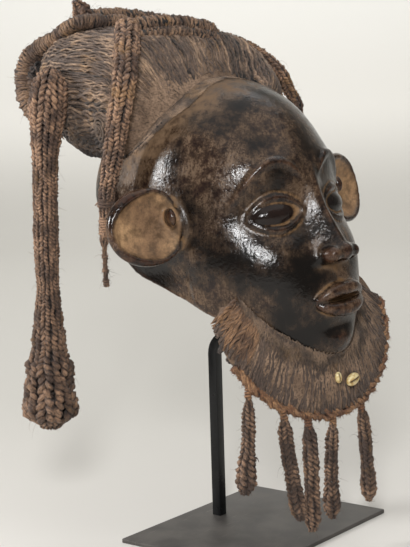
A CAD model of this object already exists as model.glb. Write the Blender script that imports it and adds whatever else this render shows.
# A Grassfields helmet mask of carved dark wood, with a coiffure, plaits and a beard of plant fibre,
# on a square steel bar over a flat base plate. Metres, +Z up; the face looks to -Y.

import random
from math import acos, atan2, copysign, cos, degrees, exp, pi, radians, sin

import bmesh
import bpy
import numpy as np
from mathutils import Matrix, Vector, noise
from mathutils.bvhtree import BVHTree


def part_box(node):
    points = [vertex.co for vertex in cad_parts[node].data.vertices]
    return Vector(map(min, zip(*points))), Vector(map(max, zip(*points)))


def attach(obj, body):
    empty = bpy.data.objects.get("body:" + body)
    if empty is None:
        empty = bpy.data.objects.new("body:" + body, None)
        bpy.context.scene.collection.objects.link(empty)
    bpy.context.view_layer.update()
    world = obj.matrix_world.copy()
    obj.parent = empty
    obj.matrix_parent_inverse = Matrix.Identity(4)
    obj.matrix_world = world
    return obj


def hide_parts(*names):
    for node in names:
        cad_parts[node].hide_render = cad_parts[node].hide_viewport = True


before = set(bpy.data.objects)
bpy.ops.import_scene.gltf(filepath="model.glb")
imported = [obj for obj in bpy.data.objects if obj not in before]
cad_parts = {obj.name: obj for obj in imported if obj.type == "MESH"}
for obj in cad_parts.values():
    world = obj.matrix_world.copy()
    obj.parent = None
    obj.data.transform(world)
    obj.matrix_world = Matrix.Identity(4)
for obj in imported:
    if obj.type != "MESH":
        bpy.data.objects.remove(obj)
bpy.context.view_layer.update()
MM = 0.001

# Without a seed of its own the vector noise differs from run to run.
noise.seed_set(5)


# Base plate: hot rolled sheet steel, 4 mm thick, painted dark grey and worn by handling.
# Its corners are barely rounded, and its edges have rubbed to lighter metal.

def linear(hex_colour):
    channels = [int(hex_colour[i:i + 2], 16) / 255 for i in (1, 3, 5)]
    lit = [c / 12.92 if c <= 0.04045 else ((c + 0.055) / 1.055) ** 2.4 for c in channels]
    return (*lit, 1.0)


def feed(tree, node, inputs):
    """Gives each input another node's output, an sRGB hex colour or a plain value."""
    for key, value in inputs.items():
        if isinstance(value, bpy.types.NodeSocket):
            tree.links.new(value, node.inputs[key])
        else:
            node.inputs[key].default_value = linear(value) if isinstance(value, str) else value


def add(tree, kind, inputs, output=0, **settings):
    """Adds one shader node with its settings and links, and gives back one of its outputs."""
    made = tree.nodes.new("ShaderNode" + kind)
    for key, value in settings.items():
        setattr(made, key, value)
    feed(tree, made, inputs)
    return made.outputs[output]


def new_material(name):
    """A material, its nodes, and the place on the object that its patterns are read at."""
    material = bpy.data.materials.new(name)
    material.use_nodes = True
    tree = material.node_tree
    return material, tree, add(tree, "TexCoord", {}, "Object")


def noises(tree, where, *kinds):
    """Patterns, each from the size of its marks in millimetres, its detail and its roughness."""
    return [add(tree, "TexNoise", {"Vector": where, "Scale": 1 / (size * MM), "Detail": detail,
                                   "Roughness": roughness}) for size, detail, roughness in kinds]


def thinned(tree, amount, *shares):
    for share in shares:
        amount = add(tree, "Math", {0: amount, 1: share}, operation="MULTIPLY")
    return amount


def cover(tree, value, low, high, *shares):
    """How much a layer shows: the value's way from low to high, thinned by the shares."""
    way = add(tree, "MapRange", {"Value": value, "From Min": low, "From Max": high},
              interpolation_type="SMOOTHSTEP")
    return thinned(tree, way, *shares)


def layered(tree, colour, *layers):
    """A colour with others laid over it in turn, each as far as its amount says."""
    for amount, over in layers:
        colour = add(tree, "Mix", {0: amount, 6: colour, 7: over}, 2, data_type="RGBA")
    return colour


def finish(tree, inputs, height=None, strength=1.0, depth=1.0):
    """Sets a material's surface, with bumps of a depth in millimetres where there is a height."""
    if height is not None:
        inputs["Normal"] = add(tree, "Bump", {
            "Height": height, "Strength": strength, "Distance": depth * MM})
    feed(tree, tree.nodes["Principled BSDF"], inputs)


def mesh_of(name, shape):
    mesh = bpy.data.meshes.new(name)
    shape.to_mesh(mesh)
    shape.free()
    return mesh


def put(name, data):
    made = bpy.data.objects.new(name, data)
    bpy.context.scene.collection.objects.link(made)
    return made


def settle(name, shape, materials, node=None, place=None, sharp=None):
    """Turns a bmesh or mesh into a finished piece that rides on the object and may stand for a node."""
    mesh = mesh_of(name, shape) if isinstance(shape, bmesh.types.BMesh) else shape
    mesh.name = name
    if place is not None:
        mesh.transform(place)
    mesh.materials.clear()
    for material in materials:
        mesh.materials.append(material)
    mesh.shade_smooth()
    if sharp:
        mesh.set_sharp_from_angle(angle=radians(sharp))
    piece = put(name, mesh)
    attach(piece, "root")
    if node:
        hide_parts(node)
    return piece


def bevel(shape, geom, offset, segments, affect="EDGES"):
    bmesh.ops.bevel(shape, geom=geom, offset=offset, segments=segments, profile=0.5, affect=affect,
                    material=-1)


plate_low, plate_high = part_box("stand_plate")
plate_corner = 1.5 * MM
plate_bevel = 0.7 * MM

shape = bmesh.new()
bmesh.ops.create_cube(shape, size=1.0, matrix=Matrix.Translation((plate_low + plate_high) / 2)
                      @ Matrix.Diagonal((*(plate_high - plate_low), 1.0)))
uprights = [e for e in shape.edges if abs(e.verts[0].co.z - e.verts[1].co.z) > 1 * MM]
bevel(shape, uprights, plate_corner, 3)
rims = [e for e in shape.edges if abs(e.verts[0].co.z - e.verts[1].co.z) < 0.1 * MM
        and e.calc_face_angle(0) > 1.0]
bevel(shape, rims, plate_bevel, 2)

# Grey paint on rolled steel looks matt and a little clouded, with grit and fine pale scratches,
# both drawn about a millimetre apart, coarser than real ones, so that they show.
plate_paint, tree, spot = new_material("painted_sheet_steel")
cloud, grit = noises(tree, spot, (35.71, 6.0, 0.6), (1.1111, 2.0, 0.5))
brushed = add(tree, "Mapping", {"Vector": spot, "Scale": (0.04286, 1, 0.04286), "Rotation": (0, 0, 0.4)})
scratch, = noises(tree, brushed, (1.4286, 3.0, 0.5))
finish(tree, {
    "Base Color": layered(tree, "#403d3b", (cover(tree, cloud, 0.3, 0.7), "#5c5854"),
                          (cover(tree, scratch, 0.66, 0.78, 0.55), "#8f8a84")),
    "Roughness": add(tree, "MapRange", {"Value": cloud, "To Min": 0.42, "To Max": 0.62}),
    "Metallic": 0.35}, grit, 0.25, 0.2)

settle("base_plate", shape, [plate_paint], "stand_plate", sharp=35)


# Bar: 10 mm square steel, bent twice and welded to the plate, gloss black enamel.
# It runs up behind the mask, forward under the shell and up again inside the hollow.

bar_size = 10 * MM
bar_corner = 0.5 * MM
bar_x = 6 * MM
bar_y = 50 * MM
bar_foot = 4.3 * MM
arm_z = 190 * MM
arm_y = -12 * MM
bar_bend = 20 * MM
bar_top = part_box("stand_post")[1].z


def lengthen(shape, end, offset):
    """Draws out the bar's end faces, and gives back the new ones."""
    grown = bmesh.ops.extrude_face_region(shape, geom=end)["geom"]
    bmesh.ops.delete(shape, geom=end, context="FACES_ONLY")
    bmesh.ops.translate(shape, verts=[v for v in grown if isinstance(v, bmesh.types.BMVert)], vec=offset)
    return [f for f in grown if isinstance(f, bmesh.types.BMFace)]


def bend(shape, end, centre, angle, steps=8):
    for _ in range(steps):
        end = lengthen(shape, end, (0, 0, 0))
        bmesh.ops.rotate(shape, verts=list({v for f in end for v in f.verts}), cent=centre,
                         matrix=Matrix.Rotation(angle / steps, 3, "X"))
    return end


shape = bmesh.new()
section = bmesh.ops.create_grid(shape, x_segments=1, y_segments=1, size=bar_size / 2)["verts"]
bevel(shape, section, bar_corner, 3, "VERTICES")
bmesh.ops.translate(shape, verts=shape.verts, vec=(bar_x, bar_y, bar_foot))
end = list(shape.faces)
bmesh.ops.duplicate(shape, geom=end)
end = lengthen(shape, end, (0, 0, arm_z - bar_bend - bar_foot))
end = bend(shape, end, (0, bar_y - bar_bend, arm_z - bar_bend), pi / 2)
end = lengthen(shape, end, (0, -(bar_y - arm_y - 2 * bar_bend), 0))
end = bend(shape, end, (0, arm_y + bar_bend, arm_z + bar_bend), -pi / 2)
lengthen(shape, end, (0, 0, bar_top - arm_z - bar_bend))
bmesh.ops.remove_doubles(shape, verts=shape.verts, dist=0.01 * MM)
bmesh.ops.recalc_face_normals(shape, faces=shape.faces)

# Gloss enamel is almost black with sharp highlights, a faint orange peel and a thin film of dust.
bar_enamel, tree, spot = new_material("black_gloss_enamel")
orange_peel, dusting = noises(tree, spot, (2.381, 2.0, 0.5), (16.667, 8.0, 0.7))
finish(tree, {
    "Base Color": layered(tree, "#08090a", (cover(tree, dusting, 0.45, 0.8), "#15171a")),
    "Roughness": add(tree, "MapRange", {"Value": dusting, "To Min": 0.18, "To Max": 0.42}),
    "Specular IOR Level": 0.3}, orange_peel, 0.12, 0.1)

settle("stand_bar", shape, [bar_enamel], "stand_post", sharp=35)


# Pad: a block of dark wool felt glued to the bar's end, cut to the inside of the crown.
# It has soft edges and a faint nap.

shape = bmesh.new()
shape.from_mesh(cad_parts["stand_pad"].data)
bmesh.ops.remove_doubles(shape, verts=shape.verts, dist=0.05 * MM)
bmesh.ops.dissolve_limit(shape, angle_limit=radians(8), verts=shape.verts, edges=shape.edges)
bmesh.ops.triangulate(shape, faces=shape.faces)

# Wool felt is dull and dark from every side, with a short nap that takes a weak sheen. The nap is
# drawn coarser than single hairs of wool, so that it shows.
felt, tree, spot = new_material("wool_felt")
nap, patch = noises(tree, spot, (0.71429, 3.0, 0.5), (11.111, 4.0, 0.5))
finish(tree, {"Base Color": layered(tree, "#1f1d1b", (patch, "#3a3733")), "Roughness": 0.95,
              "Sheen Weight": 0.3}, nap, 0.5, 0.4)

pad = settle("felt_pad", shape, [felt], "stand_pad", sharp=60)
soft_edge = pad.modifiers.new("soft edge", "BEVEL")
soft_edge.width = 1.5 * MM
soft_edge.segments = 3
soft_edge.angle_limit = radians(40)


# Carved head: one block of dense dark hardwood, hollowed from behind, oiled and handled until it shines.
# The face is carved on plain, even proportions; dust has settled wherever hands don't reach.

mask_place = Matrix.Translation(Vector((-2.1, -4.0, 321.0)) * MM) \
    @ Matrix.Rotation(radians(-9), 4, "Z") \
    @ Matrix.Rotation(radians(-13), 4, "X") \
    @ Matrix.Rotation(radians(-3), 4, "Y") \
    @ Matrix.Scale(MM, 4)

head_half_width = 102.0
crown_z = 130.0
jaw_drop = 162.0
face_reach = 86.0
back_reach = 143.0
widest_y = 32.0
jaw_forward = 45
crown_y = 35
face_roundness = 2 / 1.95
back_roundness = 2 / 4.2
wall = 10.0
face_wall = 15.0
cavity_drop = 140.0
eye_x = 40.0
eye_z = -14.0
eyeball_size = (23.5, 14.0, 13.5)
eyeball_turn = 0.38
eye_half_length = 24.0
eye_half_height = 15.0
brow_peak_z = 33.0
nose_root_z = 10.0
nose_tip_z = -60.0
nose_height = 25.0
mouth_z = -102.0
mouth_half_width = 31.0
ear_x = 133.0
ear_half_width = 39.0
ear_half_height = 36.0
ear_flare = radians(23)
carving_voxel = 1.6


def smooth(low, high, value):
    share = min(max((value - low) / (high - low), 0.0), 1.0)
    return share * share * (3 - 2 * share)


def mix(low, high, share):
    return low + (high - low) * share


def signed_power(value, power):
    return copysign(abs(value) ** power, value)


def head_section(z):
    """Half width, middle, front and back of the plain head at a height."""
    if z < 0:
        share = min(-z / jaw_drop, 1.0)
        return (head_half_width * (1 - share ** 2.4) ** (1 / 1.5),
                widest_y - (widest_y + jaw_forward) * share ** 1.5,
                -jaw_forward - (face_reach - jaw_forward) * (1 - share ** 4) ** (1 / 2.5),
                -jaw_forward + (back_reach + jaw_forward) * (1 - share ** 1.6) ** (1 / 1.6))
    share = min(z / crown_z, 1.0)
    return (head_half_width * (1 - share ** 2.3) ** (1 / 2.1),
            mix(widest_y, crown_y, share),
            crown_y - (face_reach + crown_y) * (1 - share ** 2.2) ** (1 / 2.2),
            crown_y + (back_reach - crown_y) * (1 - share ** 2.4) ** (1 / 2.4))


def face_relief(x, z):
    """How far the carving stands out of the plain head: the nose, then each rise and hollow."""
    down = min(max((nose_root_z - z) / (nose_root_z - nose_tip_z), 0.0), 1.0)
    nose_end = smooth(nose_tip_z - 12, nose_tip_z - 2, z)
    nose_start = 1 - smooth(nose_root_z - 6, nose_root_z + 26, z)
    ridge = (6 + (nose_height - 6) * down ** 1.2) * exp(-(x / (10 + 7 * down)) ** 2)
    relief = ridge * nose_end * nose_start
    for height, centre_x, centre_z, reach_x, reach_z in (
            (-9, eye_x, eye_z, 32, 22), (4, 34, brow_peak_z - 2, 36, 14), (6, 50, -60, 28, 28),
            (12, 0, mouth_z + 4, 42, 30), (8, 0, -142, 30, 18),
            (-5, 0, mouth_z - 24, 24, 8), (-2.5, 0, mouth_z + 22, 5, 9)):
        across = (abs(x) - centre_x) / reach_x
        relief += height * exp(-across ** 2 - ((z - centre_z) / reach_z) ** 2)
    return relief


def face_y(x, z):
    """Where the face's surface lies, seen from the front."""
    width, middle, front, _ = head_section(z)
    across = min(abs(x) / max(width, 1.0), 1.0)
    return middle + (front - middle) * (1 - across ** 1.95) ** (1 / 1.95) - face_relief(x, z)


def head_point(turn, share, _):
    """A point on the head; behind the edge from ear to jaw its side lies a little deeper."""
    z = mix(crown_z, -jaw_drop, 0.5 - 0.5 * cos(pi * share))
    width, middle, front, back = head_section(z)
    ahead = cos(turn)
    roundness = face_roundness if ahead > 0 else back_roundness
    reach = front - middle if ahead > 0 else back - middle
    x = width * signed_power(sin(turn), roundness)
    y = middle + reach * abs(ahead) ** roundness
    y -= face_relief(x, z) * smooth(0.02, 0.4, ahead)
    edge_y = -8 - 0.42 * (z + 40)
    along = smooth(-38, -60, z) * smooth(-150, -128, z)
    step = 5.0 * along * smooth(-4, 12, y - edge_y) * smooth(25, 60, abs(x))
    return Vector((x - copysign(step, x), y, z))


def eyeball_centre(side):
    return side * (eye_x - 2), face_y(side * eye_x, eye_z) + 4.5, eye_z


def shaped_ball(around, along, place_of):
    """A closed ball, each point put where its turn, pole-to-pole share and own place say."""
    ball = bmesh.new()
    bmesh.ops.create_uvsphere(ball, u_segments=around, v_segments=along, radius=1.0)
    for vertex in ball.verts:
        x, y, z = vertex.co
        vertex.co = place_of(atan2(x, y), acos(min(max(z, -1.0), 1.0)) / pi, vertex.co)
    bmesh.ops.remove_doubles(ball, verts=ball.verts, dist=0.01)
    return ball


def add_ball(shape, centre, size, segments=40, turned=0.0):
    place = Matrix.Translation(centre) @ Matrix.Rotation(turned, 4, "Z") @ Matrix.Diagonal((*size, 1.0))
    bmesh.ops.create_uvsphere(shape, u_segments=segments, v_segments=segments // 2, radius=1.0, matrix=place)


def tubes(strands, ring=6):
    """Round strands as one mesh. Each of their points starts with its place and radius."""
    curve = bpy.data.curves.new("tubes", "CURVE")
    curve.dimensions = "3D"
    curve.bevel_depth = 1.0
    curve.bevel_resolution = (ring - 4) // 2
    for strand in strands:
        spline = curve.splines.new("POLY")
        spline.points.add(len(strand) - 1)
        spline.points.foreach_set("co", [c for point in strand for c in (*point[0], 1.0)])
        spline.points.foreach_set("radius", [point[1] for point in strand])
    holder = bpy.data.objects.new("tubes", curve)
    mesh = bpy.data.meshes.new_from_object(holder)
    bpy.data.objects.remove(holder)
    bpy.data.curves.remove(curve)
    closed = bmesh.new()
    closed.from_mesh(mesh)
    bmesh.ops.holes_fill(closed, edges=[e for e in closed.edges if len(e.link_faces) == 1], sides=0)
    closed.to_mesh(mesh)
    closed.free()
    return mesh


def face_ridge(shape, route, radius, lift):
    """A carved ridge that follows the face: route gives x and z for a share of its length."""
    strand = []
    for i in range(41):
        share = i / 40
        x, z = route(share)
        thick = radius * max(sin(pi * share), 0.02) ** 0.5
        strand.append((Vector((x, face_y(x, z) - lift, z)), thick))
    shape.from_mesh(tubes([strand], ring=12))


def bake_modifiers(made):
    """Makes an object's modifiers part of its mesh."""
    mesh = bpy.data.meshes.new_from_object(made.evaluated_get(bpy.context.evaluated_depsgraph_get()))
    made.modifiers.clear()
    made.data = mesh


def cut(made, tool):
    """Takes the tool's volume out of an object, and removes the tool."""
    carve = made.modifiers.new("cut", "BOOLEAN")
    carve.operation = "DIFFERENCE"
    carve.solver = "EXACT"
    carve.object = tool
    carve.material_mode = "TRANSFER"
    bake_modifiers(made)
    bpy.data.objects.remove(tool)


def ease(shape, verts, rounds):
    for _ in range(rounds):
        bmesh.ops.smooth_vert(shape, verts=verts, factor=0.5,
                              use_axis_x=True, use_axis_y=True, use_axis_z=True)


def ear(side):
    """A cup with a thin rim, open towards the cheek, on a root that thickens towards the head."""
    body = bmesh.new()
    add_ball(body, (0, -1, 0), (ear_half_width, 14.5, ear_half_height), 64)
    cup = bmesh.new()
    add_ball(cup, (-side * 17, -12, -1), (ear_half_width + 14.5, 19, ear_half_height - 2.6), 64)
    made = put("ear", mesh_of("ear", body))
    cut(made, put("cup", mesh_of("cup", cup)))
    joined = bmesh.new()
    joined.from_mesh(made.data)
    for inward, behind, size in ((42, 18, (18, 14, 27)), (29, 16.5, (15, 11, 25)), (15, 14.5, (13, 8, 20))):
        add_ball(joined, (-side * inward, behind, -1), size)
    add_ball(joined, (-side * 23, -2, 4), (4.5, 9, 9.5))
    joined.to_mesh(made.data)
    joined.free()
    made.data.transform(Matrix.Translation((side * ear_x, 0, 0)) @ Matrix.Rotation(side * ear_flare, 4, "Z"))
    return made


carving = shaped_ball(200, 170, head_point)
for side in (-1, 1):
    add_ball(carving, eyeball_centre(side), eyeball_size, turned=side * eyeball_turn)
    for sign, bulk in ((1, 3.4), (-1, 2.9)):
        face_ridge(carving, lambda s: (
            side * (eye_x + (2 * s - 1) * eye_half_length),
            eye_z + sign * eye_half_height * (1 - (2 * s - 1) ** 2) ** 0.75), bulk, 2.0)
    face_ridge(carving, lambda s: (
        side * (7 + s * 68),
        -4 + (brow_peak_z + 4) * sin(pi * min(0.14 + s * 0.84, 1.0))), 4.2, -0.4)
    add_ball(carving, (side * 12.5, face_y(side * 13, nose_tip_z) + 1, nose_tip_z - 1), (8.5, 12, 8.0))
    made = ear(side)
    carving.from_mesh(made.data)
    bpy.data.objects.remove(made)
add_ball(carving, (0, face_y(0, nose_tip_z) + 10, nose_tip_z), (10.5, 12.5, 9.5))
for sign, bulk in ((1, 6.8), (-1, 7.5)):
    face_ridge(carving, lambda s: (
        (2 * s - 1) * mouth_half_width,
        mouth_z + sign * (1.5 + 8 * (1 - (2 * s - 1) ** 2)
                          - (1.6 * exp(-((2 * s - 1) / 0.16) ** 2) if sign > 0 else 0.0))), bulk, 3.0)

head = put("carved_head_block", mesh_of("carved_head_block", carving))
join_up = head.modifiers.new("join up", "REMESH")
join_up.mode = "VOXEL"
join_up.voxel_size = carving_voxel
bake_modifiers(head)
shape = bmesh.new()
shape.from_mesh(head.data)
nose_end = Vector((0, face_y(0, nose_tip_z) + 8, nose_tip_z))
near_nose = [v for v in shape.verts if (v.co - nose_end).length < 27]
ease(shape, shape.verts, 4)
ease(shape, near_nose, 7)
shape.to_mesh(head.data)
shape.free()


def spline_through(points, step):
    """Evenly spaced points on a smooth curve through the given ones."""
    ends = [2 * points[0] - points[1], *points, 2 * points[-1] - points[-2]]
    dense = []
    for a, b, c, d in zip(ends, ends[1:], ends[2:], ends[3:]):
        for i in range(24):
            t = i / 24
            dense.append(0.5 * (2 * b + (c - a) * t + (2 * a - 5 * b + 4 * c - d) * t * t
                                + (3 * b - a - 3 * c + d) * t ** 3))
    dense.append(points[-1])
    return evenly(dense, step)


def evenly(dense, step):
    walked = [0.0]
    for a, b in zip(dense, dense[1:]):
        walked.append(walked[-1] + (b - a).length)
    count = max(2, round(walked[-1] / step))
    spaced = []
    j = 0
    for i in range(count + 1):
        target = walked[-1] * i / count
        while j < len(walked) - 2 and walked[j + 1] < target:
            j += 1
        gap = walked[j + 1] - walked[j]
        spaced.append(dense[j].lerp(dense[j + 1], (target - walked[j]) / gap if gap > 0 else 0.0))
    return spaced


roof = crown_z - wall


def hollow_point(turn, share, unit):
    """A point on the hollow, which the adze has left uneven."""
    height = mix(roof, -cavity_drop, 0.5 - 0.5 * cos(pi * share))
    width, middle, front, back = head_section(
        height * (crown_z / roof if height > 0 else jaw_drop / cavity_drop))
    ahead = cos(turn)
    roundness = face_roundness if ahead > 0 else back_roundness
    reach = min(front + face_wall - middle, -1) if ahead > 0 else back + 20 - middle
    adze = 0.8 * noise.noise(unit * 7)
    return (width * (head_half_width - wall) / head_half_width * signed_power(sin(turn), roundness),
            middle + reach * abs(ahead) ** roundness + adze, height)


hollow = shaped_ball(56, 40, hollow_point)
bmesh.ops.recalc_face_normals(hollow, faces=hollow.faces)

rim_line = [Vector((0, y, z)) for y, z in (
    (127, 128), (122, 78), (114, 39), (78, -28), (49, -56), (7, -86), (-25, -115), (-52, -166))]
rim = bmesh.new()
outline = spline_through(rim_line, 7) + [Vector((0, 260, -200)), Vector((0, 260, 160))]
flat = rim.faces.new([rim.verts.new(p + Vector((-140, 0, 0))) for p in outline])
swept = bmesh.ops.extrude_face_region(rim, geom=[flat])["geom"]
bmesh.ops.translate(rim, verts=[v for v in swept if isinstance(v, bmesh.types.BMVert)], vec=(280, 0, 0))
bmesh.ops.recalc_face_normals(rim, faces=rim.faces)
bmesh.ops.triangulate(rim, faces=rim.faces)

lips_gap = bmesh.new()
add_ball(lips_gap, (0, face_y(0, mouth_z) - 5, mouth_z), (mouth_half_width - 7, 13, 3.0))
for side in (-1, 1):
    add_ball(lips_gap, (side * 8, face_y(0, nose_tip_z) + 9, nose_tip_z - 9.5), (4.0, 6.0, 4.2), 20)

# Oiled hardwood is near black with sharp small highlights, and red brown where it is rubbed through.
# Pale dust lies in its hollows and beside the hair, ochre in its cuts, and a crust in the ears' cups.
# The grain's marks are drawn 2.4 mm apart, coarser than the wood's pores, so that they show.
oiled_wood, tree, spot = new_material("oiled_hardwood")
dust = "#755e48"
polish = 0.075
groove, basin, from_hair, cup, clean = [add(tree, "Attribute", {}, "Fac", attribute_name=key)
                                        for key in ("groove", "basin", "from_hair", "cup", "eyeball")]
cloud, mottle, fleck, dent = noises(tree, spot, (58.824, 6.0, 0.6), (10.526, 8.0, 0.72),
                                    (1.4286, 4.0, 0.8), (3.3333, 2.0, 0.6))
with_grain = add(tree, "Mapping", {"Vector": spot, "Scale": (1, 1, 1 / 17.5), "Rotation": (0.25, 0.05, 0)})
grain, = noises(tree, with_grain, (2.381, 4.0, 0.5))
unwiped = add(tree, "Math", {0: 1.0, 1: clean}, operation="SUBTRACT")
mottled = cover(tree, mottle, 0.36, 0.62, unwiped)
flecked = cover(tree, fleck, 0.36, 0.6)
clouded = cover(tree, cloud, 0.38, 0.64)
either = add(tree, "Math", {0: flecked, 1: cover(tree, grain, 0.42, 0.62)}, operation="MAXIMUM")
veil = thinned(tree, clouded, mottled, either)
partly, mostly, ragged, crumbs = [
    add(tree, "Math", {0: amount, 1: scale, 2: least}, operation="MULTIPLY_ADD")
    for amount, scale, least in ((mottled, 0.6, 0.25), (mottled, 0.7, 0.3), (flecked, 0.7, 0.3),
                                 (flecked, 0.5, 0.5))]
low = cover(tree, basin, 0.1, 0.9, unwiped, partly)
reach = add(tree, "Math", {0: cloud, 1: -0.9, 2: from_hair}, operation="MULTIPLY_ADD")
near_hair = cover(tree, reach, 0.38, -0.4, mostly)
deep = cover(tree, groove, 0.45, 1.0, ragged)
crusty = add(tree, "Math", {0: thinned(tree, mottled, crumbs), 1: 0.62, 2: 0.36}, operation="MULTIPLY_ADD")
caked = thinned(tree, cup, crusty)
colour = layered(
    tree, "#0d0907", (clouded, "#221612"), (cover(tree, groove, -0.3, -1.0, mottled, 0.5), "#4c2e20"),
    (thinned(tree, veil, 0.7), dust), (thinned(tree, low, 0.85), dust), (near_hair, dust),
    (thinned(tree, deep, 0.75), "#80603c"),
    (caked, layered(tree, "#84664b", (cover(tree, cloud, 0.36, 0.6), "#bd9870"))))
dusty = low
for more in (deep, caked, near_hair, thinned(tree, veil, 0.5)):
    dusty = add(tree, "Math", {0: dusty, 1: more}, operation="MAXIMUM")
gloss = add(tree, "MapRange", {"Value": mottle, "From Min": 0.3, "From Max": 0.7,
                               "To Min": polish, "To Max": polish + 0.12})
relief = thinned(tree, mottle, 0.5)
for height, weight in ((grain, 0.3), (fleck, 0.14), (dent, 0.9)):
    relief = add(tree, "Math", {0: height, 1: weight, 2: relief}, operation="MULTIPLY_ADD")
finish(tree, {"Base Color": colour, "Specular IOR Level": 0.33,
              "Roughness": add(tree, "Mix", {0: dusty, 2: gloss, 3: 0.75}, data_type="FLOAT")},
       relief, 0.46, 0.8)

# Raw hardwood is dry and dull where the adze left it, stained dark, with pale fibres along the
# grain, drawn coarse enough to show.
raw_wood, tree, spot = new_material("adzed_raw_hardwood")
with_grain = add(tree, "Mapping", {"Vector": spot, "Scale": (1, 1, 1 / 15)})
stain, = noises(tree, spot, (25.0, 6.0, 0.65))
fibre, = noises(tree, with_grain, (1.6667, 4.0, 0.5))
finish(tree, {
    "Base Color": layered(tree, "#1a120e", (cover(tree, stain, 0.35, 0.7), "#3c2c20"),
                          (thinned(tree, fibre, 0.4), "#6e5740")),
    "Roughness": 0.78}, fibre, 0.5, 0.6)

head.data.materials.append(oiled_wood)
for tool_shape, tool_material in ((lips_gap, oiled_wood), (hollow, raw_wood), (rim, raw_wood)):
    tool = put("tool", mesh_of("tool", tool_shape))
    tool.data.materials.append(tool_material)
    cut(head, tool)

shape = bmesh.new()
shape.from_mesh(head.data)
bmesh.ops.triangulate(shape, faces=[f for f in shape.faces if len(f.verts) > 4])
edge_ring = set()
for edge in shape.edges:
    if len(edge.link_faces) == 2 and edge.calc_face_angle(0) > radians(40):
        edge_ring.update(edge.verts)
for _ in range(2):
    edge_ring.update([e.other_vert(v) for v in list(edge_ring) for e in v.link_edges])
ease(shape, list(edge_ring), 3)
shape.to_mesh(head.data)
carved = head.data
wood_skin = BVHTree.FromBMesh(shape)
shape.free()


# Dust lies where the surface is lower than its surroundings, and hands polish what stands out.
def rows_of(items, key, width, kind=float):
    """One property of all parts of a mesh, with a row for each."""
    values = np.empty(len(items) * width, dtype=kind)
    items.foreach_get(key, values)
    return values.reshape(-1, width)


wood_points = rows_of(carved.vertices, "co", 3)
wood_normals = rows_of(carved.vertices, "normal", 3)
links = rows_of(carved.edges, "vertices", 2, int)
count = len(wood_points)
valence = np.maximum(np.bincount(links.ravel(), minlength=count), 1)[:, None]


def hollowness(rounds, scale):
    """How far rounds of smoothing lift each point: above nought in a hollow, below it on a ridge."""
    current = wood_points.copy()
    for _ in range(rounds):
        total = np.stack([
            np.bincount(links[:, 0], current[links[:, 1], k], count)
            + np.bincount(links[:, 1], current[links[:, 0], k], count) for k in range(3)], axis=1)
        current = total / valence
    return np.clip(((current - wood_points) * wood_normals).sum(1) / scale, -1, 1)


def keep_attribute(mesh, name, values, kind="FLOAT"):
    layer = mesh.attributes.new(name, kind, "POINT")
    field = "value" if kind == "FLOAT" else "vector"
    layer.data.foreach_set(field, np.asarray(values, dtype=np.float32).ravel())


def on_eyeball(side):
    """One on the ball of an eye, which fingers have kept clean, and nought in the socket round it."""
    turned = np.array(Matrix.Rotation(-side * eyeball_turn, 3, "Z").transposed())
    centred = wood_points - np.array(eyeball_centre(side))
    reach = np.linalg.norm(centred @ turned / np.array(eyeball_size), axis=1)
    return np.clip((1.075 - reach) / 0.03, 0, 1) * np.clip((-wood_normals[:, 1] - 0.1) / 0.2, 0, 1)


def in_ear_cup(side):
    """One inside an ear's cup, where dust gathers, and nought on its rim and outside."""
    turned = np.array(Matrix.Rotation(-side * ear_flare, 3, "Z").transposed())
    local = (wood_points - np.array((side * ear_x, 0, 0))) @ turned
    facing = wood_normals @ turned
    round_rim = np.hypot(local[:, 0] / (ear_half_width - 3.5), local[:, 2] / (ear_half_height - 3.5))
    front = np.clip((-facing[:, 1] - 0.1) / 0.3, 0, 1)
    deep = np.clip((local[:, 1] + 7) / 3, 0, 1) * np.clip((10 - local[:, 1]) / 3, 0, 1)
    return np.clip((1.0 - round_rim) / 0.08, 0, 1) * front * deep


keep_attribute(carved, "groove", hollowness(12, 0.8))
keep_attribute(carved, "basin", hollowness(90, 3.5))
keep_attribute(carved, "cup", np.maximum(in_ear_cup(-1), in_ear_cup(1)))
keep_attribute(carved, "eyeball", np.maximum(on_eyeball(-1), on_eyeball(1)))

which_wood = rows_of(carved.polygons, "material_index", 1, np.int32).ravel()
wood = settle("carved_wood", carved, [oiled_wood, raw_wood], "carved_head", mask_place, sharp=50)
wood.data.polygons.foreach_set("material_index", which_wood)
bpy.data.objects.remove(head)


# Coiffure: a pad of matted plant fibre laid over the crown like a band from ear to ear.
# Hundreds of thin cords run over it from front to back, and the front edge is felted down with dust.

band_half_width = 92.0
band_base_z = 50.0
band_rise = 104.0
band_sweep = radians(86)
last_cord = band_sweep - radians(1.5)
band_squareness = 0.55
band_bulges = ((19, -38, 28), (25, 75, 21))
cord_radius = 1.9
cord_spacing = 3.5
cord_places = 200
rib_pitch = 9.5
stray_tries = 520
knot_arch = radians(-74)
knot_turns = 3.2
knot_size = 9.5
knot_places = 90
edge_hair_count = 2600


def band_point(arch, turn, lift=0.0):
    """A point on the band: arch goes over the crown from ear to ear, turn goes round its section."""
    to_side = sin(arch) ** 2
    taper = max(1 - abs(arch / band_sweep) ** 7, 0.0) ** 0.5
    depth = mix(92, 72, to_side) * taper
    bulge = sum(height * exp(-((degrees(arch) - middle) / reach) ** 2)
                for height, middle, reach in band_bulges)
    thick = (mix(38, 21, to_side) + bulge) * taper + lift
    tilt = radians(mix(19, 17, to_side))
    fore = signed_power(cos(turn), 2 / 2.6) * depth
    out = signed_power(sin(turn), 2 / 2.6) * thick
    return Vector((
        signed_power(sin(arch), band_squareness) * band_half_width + sin(arch) * out,
        mix(67, 86, to_side) + cos(tilt) * fore,
        band_base_z + max(cos(arch), 0.0) ** band_squareness * band_rise
        + cos(arch) * out + sin(tilt) * fore))


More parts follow.
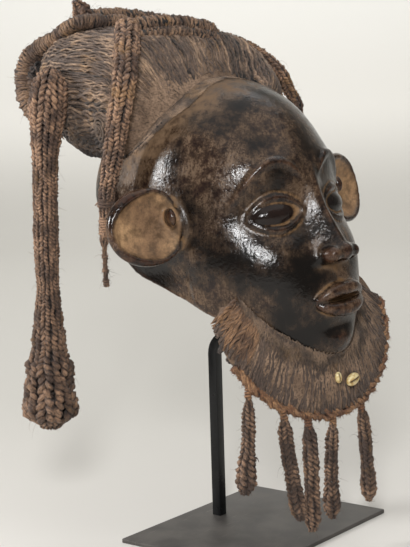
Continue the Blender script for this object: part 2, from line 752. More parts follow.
def laid(arch, turn, lift=0.0):
    """A point on the band, drawn down onto the wood towards its front edge."""
    point = band_point(arch, turn, lift)
    pull = smooth(2.0, 2.75, turn) * smooth(3.5, 3.2, turn)
    if pull == 0:
        return point
    point.y += 13 * pull * exp(-((degrees(arch) - 4) / 24) ** 2)
    pull *= 1 - 0.8 * smooth(radians(12), radians(32), arch)
    inward = Vector((-sin(arch), 0.25, -cos(arch))).normalized()
    hit, _, _, _ = wood_skin.ray_cast(point + inward * -60, inward, 140)
    if hit is None:
        return point
    return point.lerp(hit - inward * (lift - 1.6 * smooth(2.6, 3.0, turn)), pull)


def matted(arch, turn):
    """One where the front edge is felted, on the near side and over the forehead."""
    return smooth(2.0, 2.45, turn) * (1 - smooth(radians(2), radians(22), arch))


def fibre_piece(name, strands, material, node=None, ring=6, ragged=0.1):
    """Fibre strands as one piece. Each point is (place, radius, heart, over): heart is a point the
    strand lies outside of, and over is how much it stands proud of its neighbours, from -1 to 1."""
    mesh = tubes(strands, ring)
    points, radii, hearts, overs = [np.array(row) for row in zip(*[point for s in strands for point in s])]
    along = np.concatenate([[0.0], np.cumsum(np.linalg.norm(np.diff(points, axis=0), axis=1))])
    draw = np.random.default_rng(1)
    tones = np.concatenate([np.full(len(s), draw.random()) for s in strands])
    rings = rows_of(mesh.vertices, "co", 3).reshape(len(points), ring, 3)
    offset = (rings - points[:, None]) / np.maximum(radii, 0.01)[:, None, None]
    outward = points - hearts
    outward /= np.maximum(np.linalg.norm(outward, axis=1), 0.01)[:, None]
    rough = 1 + draw.normal(0, ragged, (len(points), ring, 1))
    mesh.vertices.foreach_set("co", (points[:, None] + offset * radii[:, None, None] * rough).ravel())
    proud = 0.5 + 0.3 * (offset * outward[:, None]).sum(2) + 0.3 * overs[:, None]
    angle = np.arange(ring) * 2 * np.pi / ring
    fibre = np.empty((len(points), ring, 3))
    fibre[:, :, 0] = np.cos(angle) * 2.0 + tones[:, None] * 90
    fibre[:, :, 1] = np.sin(angle) * 2.0
    fibre[:, :, 2] = along[:, None] * 0.16
    keep_attribute(mesh, "proud", np.clip(proud, 0, 1))
    keep_attribute(mesh, "tone", np.repeat(tones, ring))
    keep_attribute(mesh, "fibre", fibre, "FLOAT_VECTOR")
    settle(name, mesh, [material], node, mask_place)


def plant_fibre(name, crevice, body, worn, dust, dust_share, gold=0.35, soot=(0.42, 0.1, 0.34)):
    """Coarse plant fibre: dark in the crevices, rubbed golden where it stands proud, and dusty.
    soot holds the height in metres it starts at, the height it is full at, and how dark it is."""
    material, tree, spot = new_material(name)
    proud, tone = [add(tree, "Attribute", {}, "Fac", attribute_name=key) for key in ("proud", "tone")]
    lie = add(tree, "Attribute", {}, "Vector", attribute_name="fibre")
    streak = add(tree, "TexNoise", {"Vector": lie, "Scale": 1.8, "Detail": 6.0, "Roughness": 0.75})
    patchy, speck, gilt = noises(tree, spot, (20.833, 5.0, 0.6), (2.6316, 4.0, 0.75), (37.037, 3.0, 0.7))
    height = add(tree, "Math", {0: speck, 1: 0.9, 2: proud}, operation="MULTIPLY_ADD")
    height = add(tree, "Math", {0: tone, 1: 0.25, 2: height}, operation="MULTIPLY_ADD")
    hung = add(tree, "SeparateXYZ", {"Vector": spot}, "Z")
    colour = layered(
        tree, crevice, (cover(tree, height, 0.78, 1.16), body),
        (cover(tree, height, 1.15, 1.55, cover(tree, patchy, 0.36, 0.62)), worn),
        (cover(tree, patchy, 0.5, 0.7, dust_share), dust),
        (cover(tree, gilt, 0.56, 0.68, cover(tree, height, 0.95, 1.3), gold), "#c3945a"),
        (cover(tree, streak, 0.54, 0.38, 0.85), crevice), (cover(tree, hung, *soot), crevice))
    finish(tree, {"Base Color": colour, "Roughness": 0.66, "Sheen Weight": 0.1}, streak, 1.0, 1.2)
    return material


# The cords' fibre is dull grey brown, pale and dusty over the crown, and sooty low on the sides.
coiffure_fibre = plant_fibre("laid_fibre_cord", "#0d0907", "#625042", "#c9a788", "#9a806a", 0.42)
cord_fibre = plant_fibre("coiffure_fibre_cord", "#0d0907", "#69564a", "#c9a788", "#b3947a", 0.5,
                         soot=(0.435, 0.35, 0.75))

# Felted fibre is a flat, dusty mat in which only the darker and paler hairs show.
felted_hair, tree, spot = new_material("felted_fibre")
patchy, = noises(tree, spot, (26.316, 6.0, 0.65))
with_hair = add(tree, "Mapping", {"Vector": spot, "Scale": (1, 0.23077, 1), "Rotation": (0.5, 0.2, 0.3)})
hairs, = noises(tree, with_hair, (1.74825, 6.0, 0.75))
finish(tree, {
    "Base Color": layered(tree, "#695545", (cover(tree, patchy, 0.35, 0.65), "#957c67"),
                          (cover(tree, hairs, 0.55, 0.35, 0.8), "#2e221a"),
                          (cover(tree, hairs, 0.6, 0.8, 0.5), "#9b7f60")),
    "Roughness": 0.92}, hairs, 0.9, 1.0)


def pad_point(turn, share, _):
    turn = turn % (2 * pi)
    arch = (2 * share - 1) * band_sweep
    felted = matted(arch, turn)
    rough = noise.noise(band_point(arch, turn) * 0.13) * 1.6
    return laid(arch, turn, mix(-2.2, 0.3, felted) + rough * mix(0.5, 1, felted))


base = shaped_ball(120, 150, pad_point)
bmesh.ops.recalc_face_normals(base, faces=base.faces)

hair_skin = BVHTree.FromBMesh(base)
hair_reach = 45
hairline = []
for point in wood_points:
    found = hair_skin.find_nearest(Vector(point), hair_reach)
    hairline.append(1.0 if found[0] is None else found[3] / hair_reach)
keep_attribute(wood.data, "from_hair", hairline)
settle("coiffure_pad", base, [felted_hair], "coiffure", mask_place)

chance = random.Random(7)
cords = []
arch = -last_cord
travelled = 0.0
while arch < last_cord:
    pace = (band_point(arch + 0.01, 1.57) - band_point(arch, 1.57)).length / 0.01
    smooth_top = smooth(-1.1, -0.9, arch) * (1 - smooth(-0.6, -0.45, arch))
    ribbed = smooth(0.25, 0.5, arch)
    radius = cord_radius * chance.uniform(0.8, 1.2) * mix(mix(1.0, 0.6, smooth_top), 0.8, ribbed)
    valley = abs(2 * ((travelled / rib_pitch) % 1.0) - 1) ** 3
    phase = chance.uniform(0, 6.28)
    wave = chance.uniform(0.8, 1.9) * mix(1.0, 0.5, smooth_top) * mix(1.0, 0.4, ribbed)
    sink = chance.uniform(-1.3, 0.6)
    dense = []
    for i in range(cord_places):
        turn = mix(-0.3, pi + 0.35, i / (cord_places - 1))
        length = i * 1.2
        here = Vector((length * 0.12, travelled * 0.1, 4.0))
        sway = wave * sin(length / 2.1 + phase + 2.0 * noise.noise(here)) \
            + 2.6 * noise.noise(Vector((length * 0.035, travelled * 0.05, 1.0)))
        lift = sink - 0.7 * radius + 0.8 * cos(length / 2.1 + phase) + 1.0 * noise.noise(here * 2.3) \
            - 5.5 * matted(arch, turn) - 4.5 * valley * ribbed
        dense.append(laid(arch + sway / pace, turn, lift))
    path = evenly(dense, 2.2)
    middle = band_point(arch, 1.57, -45)
    seed = chance.uniform(0, 90)
    cord = []
    for i, p in enumerate(path):
        thick = radius * min(1.0, 0.3 + 0.25 * min(i, len(path) - 1 - i)) \
            * (1 + 0.3 * noise.noise(Vector((seed, i * 0.5, 0))))
        heart = Vector((middle.x, mix(middle.y, p.y, 0.8), middle.z))
        cord.append((p, thick, heart, sink + (1.3 - 2.9 * valley) * ribbed))
    cords.append(cord)
    step = cord_spacing * mix(mix(1.0, 0.62, smooth_top), 0.75, ribbed)
    travelled += step
    arch += step / pace
fibre_piece("coiffure_cords", cords, cord_fibre)

# Loose fibres cross the cords where they are felted, and a spiral knot sits low on the near side.
strays = []
for _ in range(stray_tries):
    arch = chance.uniform(-1.42, 1.3)
    turn = chance.uniform(0.5, 2.95)
    heading = chance.gauss(0, 0.4)
    felted = matted(arch, turn)
    if chance.random() > felted + 0.12:
        continue
    stray = []
    for i in range(9):
        t = i / 8
        here = laid(arch + 0.10 * t * sin(heading), turn + 0.14 * t * cos(heading),
                    mix(1.5, 0.9, felted) + 0.9 * sin(3 * t + heading))
        here += noise.noise_vector(here * 0.2) * 0.8
        stray.append((here, 0.34 * (1 - 0.6 * t), here - Vector((sin(arch), 0, cos(arch))) * 10, 0.9))
    strays.append(stray)
whorl = []
for i in range(knot_places):
    t = i / (knot_places - 1)
    spin = 2 * pi * knot_turns * t
    here = laid(knot_arch + knot_size * t * cos(spin) / 95, 1.9 + knot_size * t * sin(spin) / 80,
                3.6 - 2.2 * t)
    whorl.append((here, 2.0 * (1 - 0.3 * t), here + Vector((10, 0, 0)), 0.1))
strays.append(whorl)
fibre_piece("coiffure_strays", strays, coiffure_fibre, ring=4)

# Short hairs run from the front edge down onto the wood, so the mat ends raggedly.
edge_hairs = []
for k in range(edge_hair_count):
    arch = mix(radians(-80), radians(16), (k + chance.random()) / edge_hair_count)
    root = laid(arch, 2.72, 0.8)
    edge = laid(arch + chance.gauss(0, 0.03), 3.05)
    tip = edge + (edge - root).normalized() * chance.uniform(1.0, 7.0)
    hair = []
    for i in range(9):
        t = i / 8
        here = root.lerp(tip, t) + noise.noise_vector(Vector((k * 3.1, t * 2.5, 0))) * 1.6
        found, out, _, _ = wood_skin.find_nearest(here, 60)
        if found is None:
            break
        flat = smooth(0.55, 0.8, t)
        height = max((here - found).dot(out), 0.5) * (1 - flat) + 0.5 * flat
        hair.append((found + out * height, 0.55 * (1 - 0.5 * t), found - out * 10, 0.8))
    else:
        edge_hairs.append(hair)
fibre_piece("coiffure_front_edge", edge_hairs, coiffure_fibre, ring=4)


# Plaits: braids of plant fibre, crocheted of two-ply cord or wound with cord round a core.
# They hang from the coiffure, and are wound with cord where they end.

chance = random.Random(11)
plate_top = 4.0
to_mask = mask_place.inverted()

# Plaited fibre is darker and browner than the coiffure's, since hands and smoke reach all of it.
plait_fibre = plant_fibre("plaited_fibre", "#0e0907", "#5b4335", "#c79c7a", "#8d7466", 0.3)
rope_fibre = plant_fibre("wound_fibre_cord", "#0c0807", "#513c30", "#a98668", "#7b6353", 0.3)


def travel(points):
    """The tangent and two crossing directions at each point, carried along without twisting."""
    frames = []
    across = Vector((0, 1, 0))
    for i, point in enumerate(points):
        ahead = (points[min(i + 1, len(points) - 1)] - points[max(i - 1, 0)]).normalized()
        across = (across - ahead * across.dot(ahead)).normalized()
        frames.append((ahead, across, ahead.cross(across)))
    return frames


def around(side, lift, angle):
    return side * cos(angle) + lift * sin(angle)


def stitched(route, width, columns, lump=1.4, mixed=False, step=1.2):
    """A crocheted rope: columns of two-ply cord round a core, laid left and right in turn, so that
    their plies show as rows of knots. width(share) is its half width; lump is a knot's length
    for one radius of the cord; mixed lays the columns left and right at random."""
    centres = spline_through(route, step)
    frames = travel(centres)
    total = len(centres) - 1
    opening = sin(pi / columns)
    yarns = []
    for k in range(columns):
        way = chance.choice((-1, 1)) if mixed else (-1) ** k
        seed = Vector((k * 3.7, chance.uniform(0, 50), 0))
        spin = chance.uniform(0, 6.28)
        column = [[] for _ in range(4)]
        for i, centre in enumerate(centres):
            half = width(i / total)
            cord = half * opening / (1 + opening) * 1.12
            drift = noise.noise_vector(seed + Vector((0, 0, i * step * 0.06)))
            jitter = noise.noise_vector(seed + Vector((0, 0, i * step * 0.3)))
            angle = 2 * pi * (k + 0.4 * drift.x) / columns
            _, side, lift = frames[i]
            out = around(side, lift, angle)
            across = around(lift, -side, angle)
            axis = centre + out * ((half - cord) * (1 + 0.12 * drift.y) + 0.9 * jitter.y) \
                + across * 0.9 * jitter.x
            spin += way * pi * step / (lump * cord) * (1 + 0.35 * drift.z)
            for j, yarn in enumerate(column):
                turn = spin + pi * (j % 2)
                split = spin * 0.6 + pi * (j // 2)
                place = axis + around(out, across, turn) * cord * 0.46 \
                    + around(out, across, split) * cord * 0.2
                thick = cord * (0.41 + 0.13 * cos(turn)) * (1 + 0.5 * noise.noise(place * 0.5 + seed))
                yarn.append((place, thick, centre, 0.7 * cos(turn)))
        yarns += column
    yarns.append([(c, max(width(i / total) * 0.62, 0.5), c + Vector((0.01, 0, 0)), -1.0)
                  for i, c in enumerate(centres)])
    return yarns


def plied(strands, pitch=6.5, plies=3):
    """Every strand laid up from thinner plies that twist round each other, with ragged thickness.
    The pitch is in the strands' own points."""
    laid_up = []
    for k, strand in enumerate(strands):
        for ply in range(plies):
            thread = []
            for i, (place, radius, heart, over) in enumerate(strand):
                ahead = (strand[min(i + 1, len(strand) - 1)][0] - strand[max(i - 1, 0)][0]).normalized()
                out = (place - heart).normalized()
                side = ahead.cross(out)
                spin = i / pitch * 2 * pi + ply * 2 * pi / plies + k
                rough = 1 + 0.35 * noise.noise(place * 0.35 + Vector((ply * 9, k * 5, 0)))
                offset = around(out, side, spin) * radius * 0.46
                thread.append((place + offset, radius * 0.6 * rough, heart, over + 0.3 * cos(spin)))
            laid_up.append(thread)
    return laid_up


def wound_rope(route, width, pitch, thickness, step=0.35):
    """A rope wound closely with cord, so that it looks ribbed across."""
    centres = spline_through(route, step)
    frames = travel(centres)
    total = len(centres) - 1
    seed = chance.uniform(0, 90)
    cord = []
    spin = 0.0
    for i, centre in enumerate(centres):
        drift = noise.noise_vector(Vector((seed, i * 0.03, 0)))
        spin += 2 * pi * step / pitch * (1 + 0.6 * drift.x)
        _, side, lift = frames[i]
        half = (width(i / total) - thickness * 0.8) * (1 + 0.16 * drift.y)
        wobble = noise.noise_vector(centre * 0.3 + Vector((seed, 0, 0))) * 1.4
        thick = thickness * (1 + 0.45 * noise.noise(Vector((seed, 0, i * 0.13))))
        cord.append((centre + around(side, lift, spin) * half + wobble, thick, centre, 0.3))
    core = [(c, max(width(i * 6 / total) * 0.8, 0.5), c + Vector((0.01, 0, 0)), -1.0)
            for i, c in enumerate(centres[::6])]
    return [cord, core]


def over_plate(x, y, z):
    """A place in the mask's frame, from millimetres over the plate."""
    return to_mask @ (Vector((x, y, z + plate_top)) * MM)


def wisps(strands, count, length, radius=0.15, reach=1.0):
    """Short stray fibres that stand off the strands, as thin curved hairs."""
    hairs = []
    for _ in range(count):
        strand = strands[chance.randrange(len(strands) - 1)]
        place, thick, heart, _ = strand[chance.randrange(len(strand))]
        out = (place - heart).normalized()
        lean = Vector([chance.gauss(0, 1) for _ in range(3)]).normalized()
        way = (out * reach + lean * 1.1).normalized()
        droop = Vector((0, 0, -1)) * chance.uniform(0.0, 0.7)
        long = length * chance.uniform(0.4, 1.4)
        curl = chance.uniform(0.1, 0.5)
        hair = []
        for i in range(6):
            t = i / 5
            hair.append((place + out * thick * 0.5 + way * long * t + droop * long * t * t
                         + lean.cross(out) * long * curl * sin(3 * t),
                         radius * (1 - 0.75 * t), heart, 0.9))
        hairs.append(hair)
    return hairs


def fuzz(node, strands, amount):
    """Loose fibre over a rope: a short nap, some long hairs and a few frayed stubs."""
    hairs = wisps(strands, amount, 2.6) + wisps(strands, amount // 9, 9.0, 0.13, 0.7) \
        + wisps(strands, amount // 60, 3.6, 1.3, 0.8)
    fibre_piece(node + "_fuzz", hairs, plait_fibre, ring=4)


def hang_plait(node, strands, amount):
    fibre_piece(node + "_fibre", strands, plait_fibre, node, ragged=0.14)
    fuzz(node, strands, amount)


def hang_rope(node, ropes, amount):
    cords = plied(ropes[::2], 5.0, 2)
    fibre_piece(node + "_fibre", cords + ropes[1::2], rope_fibre, node, ragged=0.16)
    fuzz(node, cords * 2, amount)


def coil(centre, axis, half_width, turns, thickness, seed=0):
    """Cord wound round a plait."""
    axis = axis.normalized()
    side = axis.orthogonal().normalized()
    lift = axis.cross(side)
    steps = int(turns * 16)
    wound = []
    for i in range(steps + 1):
        angle = 2 * pi * turns * i / steps
        shift = (i / steps - 0.5) * turns * thickness * 2
        core = centre + axis * shift
        place = core + side * cos(angle) * half_width + lift * sin(angle) * half_width
        place += noise.noise_vector(place * 0.4 + Vector((seed, 0, 0))) * 0.4
        wound.append((place, thickness, core, 0.4))
    return wound


def vectors(*places):
    return [Vector(place) for place in places]


def long_width(share):
    shaft = 18.4 - 5.8 * smooth(0.1, 0.27, share) - 1.2 * smooth(0.5, 0.6, share)
    bulb = 5.5 * smooth(0.6, 0.76, share) + 6.5 * smooth(0.77, 0.83, share) + 4.0 * smooth(0.84, 0.93, share)
    bumps = 1 + 0.09 * noise.noise(Vector((share * 26, 0, 0)))
    top = 0.2 + 0.8 * smooth(0.0, 0.06, share) ** 0.5
    return (shaft + bulb) * bumps * top * (1 - 0.62 * smooth(0.955, 1, share))


long_route = [over_plate(*p) for p in (
    (-109, 148, 455), (-116, 147, 424), (-118, 152, 375),
    (-118, 156, 304), (-118, 158, 200), (-118, 161, 103))]
hang_plait("long_plait", stitched(long_route, long_width, 15, mixed=True, step=1.5), 1800)


def temple_width(share):
    hair = 12.2 - 1.4 * smooth(0.2, 0.45, share) - 3.4 * smooth(0.5, 0.72, share)
    wound = 2.6 * smooth(0.72, 0.77, share)
    bumps = 1 + 0.07 * noise.noise(Vector((share * 24, 5, 0)))
    top = 0.35 + 0.65 * smooth(0.0, 0.05, share) ** 0.5
    return (hair - wound - 2.6 * smooth(0.84, 0.87, share)) * bumps * top


temple_route = vectors(
    (-61, 46, 195), (-80, 29, 179), (-94, 20, 161), (-104, 16, 142), (-110, 22, 121), (-113, 32, 99)) + [
    over_plate(*p) for p in ((-112, 70, 378), (-117, 77, 335), (-118, 81, 296), (-118, 81, 249))]
temple_plait = stitched(temple_route, temple_width, 10)
temple_line = spline_through(temple_route, 2.2)
for share, turns, thick in (
        (0.715, 2.5, 1.4), (0.80, 7.0, 1.2), (0.90, 2.0, 1.1), (0.95, 2.0, 1.1), (0.985, 3.0, 1.2)):
    i = int(share * (len(temple_line) - 1))
    axis = temple_line[min(i + 1, len(temple_line) - 1)] - temple_line[i - 1]
    temple_plait.insert(0, coil(temple_line[i], axis, temple_width(share) * 0.95, turns, thick))
hang_plait("temple_plait_right", temple_plait, 1000)

far_route = vectors((60, 98, 194), (86, 52, 168), (94, 16, 134), (106, 16, 110), (118, 22, 86)) + [
    over_plate(*p) for p in ((120, 40, 370), (114, 56, 330), (113, 62, 282))]
hang_plait("temple_plait_left", stitched(far_route, lambda s: 6.6 - 2 * smooth(0.8, 1, s), 6), 500)

front_route = vectors((-64, 33, 186), (-42, 27, 186), (-10, 24, 183), (18, 23, 177), (36, 24, 170))
upper = [p + Vector((0, 5.0, 4.6)) for p in front_route]
lower = [p + Vector((0, -2.5, -6.4)) for p in front_route]
front_plait = wound_rope(upper, lambda s: 8.4 * (1 - 0.25 * smooth(0.9, 1, s)), 4.2, 2.2) \
    + wound_rope(lower, lambda s: 6.4 * (1 - 0.2 * smooth(0.9, 1, s)), 5.2, 2.6)
hang_rope("front_plait", front_plait, 600)

loop_route = vectors(
    (-33, 76, 203), (-57, 83, 207), (-82, 91, 210), (-87, 114, 206), (-91, 134, 201),
    (-95, 151, 197), (-100, 162, 188), (-104, 167, 171), (-107, 165, 152), (-107, 160, 138))
loop_plait = wound_rope(loop_route, lambda s: 7.4 + 2.2 * smooth(0.45, 0.65, s), 3.2, 2.1)
inner_loop = [p + Vector((3, -9 * smooth(2.5, 5.0, i), -3)) for i, p in enumerate(loop_route[2:])]
loop_plait += wound_rope(inner_loop, lambda s: 6.5 * smooth(0.0, 0.2, s), 3.4, 2.1)
tangle = []
for k in range(70):
    start = Vector((-96, 151, 174)) + Vector([chance.gauss(0, 1) for _ in range(3)]).normalized() * 5
    tangle.append([(start + noise.noise_vector(Vector((k * 2.7, i * 0.22, 0))) * 11,
                    1.2, Vector((-88, 130, 174)), -0.6) for i in range(14)])
hang_rope("loop_plait", loop_plait, 700)
fibre_piece("loop_tangle", tangle, rope_fibre)

crown_route = vectors((58, 100, 200), (26, 106, 211), (-14, 106, 217), (-50, 104, 218), (-72, 100, 219))
crown_plait = wound_rope(crown_route, lambda s: 7.2 * (0.8 + 0.2 * smooth(0, 0.1, s)), 4.6, 2.2)
hang_rope("crown_plait", crown_plait, 500)

tuft_route = vectors((-66, 100, 212), (-68, 100, 224), (-74, 98, 233))
hang_plait("crown_tuft", stitched(tuft_route, lambda s: 9.5 - 5.5 * smooth(0.45, 1.0, s), 5, step=1.0), 250)


# Beard: a crescent of long fibre fanned out under the jaw and sewn to a twisted cord at its edge.
# Coarse golden bundles lie at its near end, and dust sits along the jaw.

front_hairs = 230
back_hairs = 80
bundle_count = 34
mat_hairs = 1500

# Combed fibre is a flat grey brown, golden fibre is paler and warmer, and rust twine is reddest.
beard_fibre = plant_fibre("combed_fibre", "#1c1511", "#5f4c40", "#947966", "#806c5e", 0.45, 0.1)
golden_fibre = plant_fibre("golden_fibre", "#1c120c", "#765741", "#c1936a", "#8c7260", 0.2)
rust_fibre = plant_fibre("rust_brown_twine", "#1f110a", "#8a5a3a", "#d9a676", "#a8805f", 0.25)


def beard_edge(angle):
    flare = 7 * smooth(1.1, 1.35, -angle)
    return Vector((105 * sin(angle) + 3 - flare, -30 - 22 * cos(angle) - 5 * sin(angle),
                   -95 - 111 * signed_power(cos(angle), 0.9)))


def jaw_edge(angle):
    return Vector((74 * sin(angle), -28 - 36 * cos(angle), -76 - 74 * cos(angle)))


def beard_point(angle, share, depth):
    """A place on the crescent: share runs from the jaw to the edge, depth is in front of its middle.
    Gives back the place, the way to the front and the way along the edge."""
    inner = jaw_edge(angle)
    fall = beard_edge(angle) - inner
    tangent = (beard_edge(angle + 0.01) - beard_edge(angle - 0.01)).normalized()
    front = tangent.cross(fall).normalized()
    if front.y > 0:
        front = -front
    return inner + fall * share + front * depth, front, tangent


def beard_pad_point(turn, share, _):
    taper = min(1.0, sin(share * pi) * 3) ** 0.5
    return beard_point((share - 0.5) * pi, 0.5 + 0.5 * signed_power(cos(turn), 0.8) * taper,
                       signed_power(sin(turn), 0.8) * 4.6 * taper)[0]


beard_base = shaped_ball(40, 90, beard_pad_point)
bmesh.ops.recalc_face_normals(beard_base, faces=beard_base.faces)
settle("beard_pad", beard_base, [felted_hair], "beard", mask_place)

chance = random.Random(23)
beard_hair = []
for face, spread, first in ((1, front_hairs, -1.5), (-1, back_hairs, -1.36)):
    for k in range(spread):
        angle = mix(first, 1.4, (k + chance.uniform(0.1, 0.9)) / spread)
        thick = chance.uniform(0.7, 1.4) if face > 0 else 2.2
        drift = chance.gauss(0, 0.05)
        felted = smooth(-1.15, -0.75, angle)
        depth = chance.uniform(-0.8, 0.6) - 0.7 * felted
        clump = mix(1.3, 0.5, felted) * sin(angle * 42 + 2 * noise.noise(Vector((angle * 6, 0, 0))))
        strand = []
        for i in range(34):
            share = mix(-0.08, chance.uniform(0.97, 1.0) if i == 33 else 1.0, i / 33)
            swing = drift * share + 0.03 * noise.noise(Vector((k * 0.35, share * 3, face))) \
                + 0.008 * noise.noise(Vector((k * 5.1, share * 14, face)))
            fray = 1 - 0.4 * smooth(0.9, 1, share)
            matting = 1.5 * noise.noise(Vector((k * 2.3, share * 9, 3.0)))
            out = 4.1 + depth + clump * share + matting
            place, front, _ = beard_point(angle + swing, share, face * out)
            strand.append((place, thick * fray * (0.8 + 0.35 * share) * (1 + 0.25 * noise.noise(place * 0.5)),
                           place - front * face * 10, 0.4 * depth + 0.3 * clump * share))
        beard_hair.append(strand)
fibre_piece("beard_hair", beard_hair, beard_fibre, ragged=0.16)

# Coarse golden bundles fold over the near end, and a mat of short dusty fibre runs along the jaw.
bundles = []
for k in range(bundle_count):
    angle = mix(-1.54, -1.12, (k + chance.uniform(0, 1)) / bundle_count)
    layer = chance.uniform(0.0, 1.0)
    bundle = []
    for i in range(26):
        share = i / 25
        roll = max(sin(pi * share), 0.0) ** 0.7
        place, front, _ = beard_point(angle + 0.04 * sin(3 * share + k), mix(-0.04, 0.95, share),
                                      1.0 + (4.6 + 3.5 * layer) * roll)
        bundle.append((place, mix(1.4, 2.2, layer) * (0.45 + 0.6 * roll), place - front * 10, 0.5))
    bundles.append(bundle)
fibre_piece("beard_bundles", plied(bundles, 11.0, 2), golden_fibre, ragged=0.14)

mat = []
for k in range(mat_hairs):
    angle = mix(-1.45, 1.45, k / mat_hairs)
    foot, front, _ = beard_point(angle, 0.0, 5)
    found, out, _, _ = wood_skin.find_nearest(foot + Vector((0, 0, chance.gauss(3, 2))), 22)
    if found is None:
        continue
    way = chance.gauss(0, 0.07)
    reach = abs(chance.gauss(0.05, 0.14))
    hair = []
    for i in range(7):
        t = i / 6
        over = beard_point(angle + way * t, reach * t, 5.2 + 0.8 * sin(3 * t + k))[0]
        here = (found + out).lerp(over, smooth(0, 0.45, t))
        hair.append((here, 0.5 * (1 - 0.5 * t), over - front * 10, 0.8))
    mat.append(hair)
fibre_piece("beard_jaw_mat", mat, coiffure_fibre, ring=4)

# The binding is four cords twisted round each other along the beard's lower edge.
binding_line = []
for i in range(41):
    angle = mix(-1.2, 1.4, i / 40)
    binding_line.append(beard_edge(angle) + (beard_edge(angle) - jaw_edge(angle)).normalized())
binding_centres = spline_through(binding_line, 2.2)
binding_frames = travel(binding_centres)
binding = []
for ply in range(4):
    strand = []
    for i, centre in enumerate(binding_centres):
        angle = 0.42 * i + ply * pi / 2 + 1.2 * noise.noise(centre * 0.05)
        _, side, lift = binding_frames[i]
        wobble = noise.noise_vector(centre * 0.12 + Vector((ply * 9, 0, 0))) * 2.0
        round_core = around(side, lift, angle) * 3.0
        strand.append((centre + round_core + wobble * 1.5, 2.7, centre, 0.4))
    binding.append(strand)
fibre_piece("binding_twine", plied(binding, 5.0), rust_fibre, "beard_binding")
fray = wisps(binding + [binding[0]], 3600, 2.8, 0.24, 0.4)
fibre_piece("binding_fray", fray, rust_fibre, ring=4)


def tassel_width(share, half, bulb, neck):
    club = half * (0.38 + 0.62 * smooth(neck - 0.07, neck + 0.1, share))
    return (club + (bulb - half) * smooth(0.55, 0.85, share)) * (1 - 0.55 * smooth(0.9, 1, share)) * 0.95


# Each tassel: its top, its tip, the half widths of its shaft and bulb, and where its neck ends.
tassels = (
    ((-91, -62.5, 168.5), (-96, -59, 63), 7.0, 10.5, 0.2),
    ((-65, -81, 141.5), (-57, -93.5, 34), 7.5, 8.5, 0.12),
    ((-40, -92, 131), (-39.5, -94.5, 19), 8.0, 8.5, 0.12),
    ((-10.5, -100.5, 127), (-13, -99, 25.5), 7.0, 9.0, 0.12),
    ((29, -106, 134), (32.5, -112, 33), 7.0, 8.5, 0.12),
)
necks = []
for k, (top, tip, half, bulb, neck) in enumerate(tassels):
    start = over_plate(*top)
    end = over_plate(*tip)
    middle = start.lerp(end, 0.5) + Vector((2 if k % 2 == 0 else -2, 0, 0))
    yarns = stitched([start, middle, end], lambda s: tassel_width(s, half, bulb, neck), 6,
                     lump=1.6, mixed=True)
    hang_plait(f"beard_tassel_{k + 1}", yarns, 450)
    neck_width = tassel_width(0, half, bulb, neck) * 0.9
    necks.append(coil(start.lerp(end, neck * 0.4), end - start, neck_width, 5.0, 1.5, seed=k))
fibre_piece("tassel_necks", necks, rust_fibre)


# Cowries: two small sea shells sewn to the beard, yellowed, each with a toothed slit.
# The shell is hard and glossy, and the slit is brown with dirt.

# Old cowrie shell shines like glazed ware, cream with clouds of straw yellow.
cowrie_shell, tree, spot = new_material("yellowed_cowrie")
slit = add(tree, "Attribute", {}, "Fac", attribute_name="slit")
cloud, = noises(tree, spot, (3.3333, 3.0, 0.5))
finish(tree, {"Base Color": layered(tree, "#b4945a", (cover(tree, cloud, 0.3, 0.7), "#e6d8a8"),
                                    (slit, "#3c2412")), "Roughness": 0.28})

for name, angle, share, half_length, twist in (
        ("cowrie_1", -0.05, 0.4, 5.5, 1.7), ("cowrie_2", 0.15, 0.52, 8.5, 0.1)):
    place, front, tangent = beard_point(angle, share, 7.6 + half_length * 0.3)
    pose = Matrix.Translation(place) @ Matrix((tangent, front.cross(tangent), front)).transposed().to_4x4() \
        @ Matrix.Rotation(twist, 4, "Z")
    shell = bmesh.new()
    bmesh.ops.create_uvsphere(shell, u_segments=48, v_segments=32, radius=1.0,
                              matrix=Matrix.Rotation(pi / 2, 4, "Y"))
    marks = []
    for vertex in shell.verts:
        x, y, z = vertex.co
        under = smooth(0.95, 0.6, abs(x)) if z > 0 else 0.0
        opening = exp(-(y / 0.16) ** 2) * under
        lip = exp(-((abs(y) - 0.28) / 0.14) ** 2) * under
        teeth = 0.5 + 0.5 * cos(x * 26)
        marks.append(min(1.0, opening * 1.2 + lip * 0.25 * teeth))
        vertex.co = Vector((x, y * 0.68, z * 0.5 * (1 - 0.5 * opening) + lip * 0.03 * teeth)) * half_length
    shell_mesh = mesh_of(name, shell)
    keep_attribute(shell_mesh, "slit", marks)
    settle(name + "_shell", shell_mesh, [cowrie_shell], name, mask_place @ pose)


# Camera and light: a pale paper sweep in a dim room, with a small window behind the camera, one on
# its left, a large soft light overhead and a light on the wall of the sweep.

focal_pixels = 1561
picture_pixels = 547
sensor = 36.0
sweep_start = 2.2
sweep_curve = 1.6
sweep_reach = 25.0
sweep_top = 9.0

camera_data = bpy.data.cameras.new("camera")
camera_data.sensor_width = sensor
camera_data.lens = focal_pixels / picture_pixels * sensor
camera = put("camera", camera_data)
right = Vector((0.61123, -0.79088, -0.02994))
up = Vector((0.13378, 0.06595, 0.98881))
ahead = Vector((0.78006, 0.60840, -0.14611))
camera.matrix_world = Matrix.Translation((-1.20699, -0.88669, 0.47759)) \
    @ Matrix((right, up, -ahead)).transposed().to_4x4()
bpy.context.scene.camera = camera

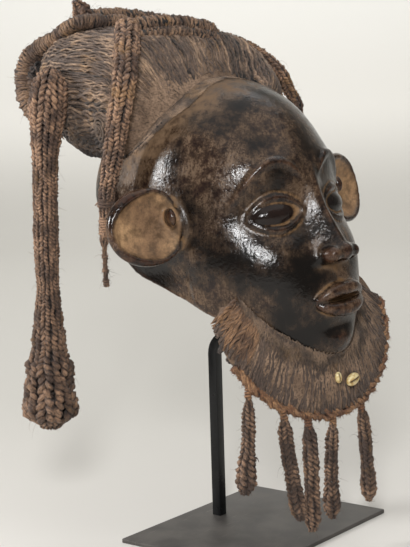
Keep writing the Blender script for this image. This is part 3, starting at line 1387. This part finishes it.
# Matt paper: it runs flat under the object, curves up into a wall behind it and pales with height.
sweep, tree, spot = new_material("pale_paper")
tooth = add(tree, "TexNoise", {"Vector": spot, "Scale": 3.0, "Detail": 2.0})
level = Vector((ahead.x, ahead.y, 0)).normalized()
aside = Vector((level.y, -level.x, 0))
away = add(tree, "VectorMath", {0: spot, 1: level}, "Value", operation="DOT_PRODUCT")
rise = add(tree, "SeparateXYZ", {"Vector": spot}, "Z")
paper = layered(tree, "#e0ddd8", (tooth, "#e5e2dd"), (cover(tree, away, -0.4, 0.7), "#c6c4be"),
                (cover(tree, rise, 0.03, 0.3), "#ebe9e3"), (cover(tree, rise, 0.3, 0.65), "#f4f3ee"))
finish(tree, {"Base Color": paper, "Roughness": 0.95, "Specular IOR Level": 0.1})
profile = [(-sweep_reach, 0.0)] + [
    (sweep_start + sweep_curve * sin(t), sweep_curve * (1 - cos(t)))
    for t in np.linspace(0, pi / 2, 40)] + [(sweep_start + sweep_curve, sweep_top)]
ground = bmesh.new()
rows = [[ground.verts.new(level * out + aside * reach + Vector((0, 0, height)))
         for reach in (-sweep_reach, sweep_reach)] for out, height in profile]
for (a, b), (c, d) in zip(rows, rows[1:]):
    ground.faces.new((a, b, d, c))
bmesh.ops.recalc_face_normals(ground, faces=ground.faces)
floor = put("sweep", mesh_of("sweep", ground))
floor.data.materials.append(sweep)
floor.data.shade_smooth()

for name, place, aim, size, power in (
        ("front_window", (-1.75, -1.15, 1.15), (0, 0, 0.3), (0.3, 0.42), 32),
        ("side_window", (-1.3, 1.35, 0.9), (0, 0, 0.35), (0.25, 0.5), 24),
        ("overhead", (-0.1, -0.3, 2.4), (0, 0, 0.3), (3.2, 3.2), 23),
        ("backdrop", level * 1.3 + Vector((0, 0, 2.4)), level * 3.6 + Vector((0, 0, 0.4)), (3.0, 1.0), 45)):
    data = bpy.data.lights.new(name, "AREA")
    data.shape = "RECTANGLE"
    data.size, data.size_y = size
    data.energy = power
    light = put(name, data)
    light.location = place
    light.rotation_euler = (Vector(aim) - Vector(place)).to_track_quat("-Z", "Y").to_euler()

# The room is dim, so dark wood reflects little but the windows.
world = bpy.data.worlds.new("studio")
bpy.context.scene.world = world
world.use_nodes = True
feed(world.node_tree, world.node_tree.nodes["Background"], {"Color": "#dedad4", "Strength": 0.34})
bpy.context.scene.view_settings.view_transform = "Standard"
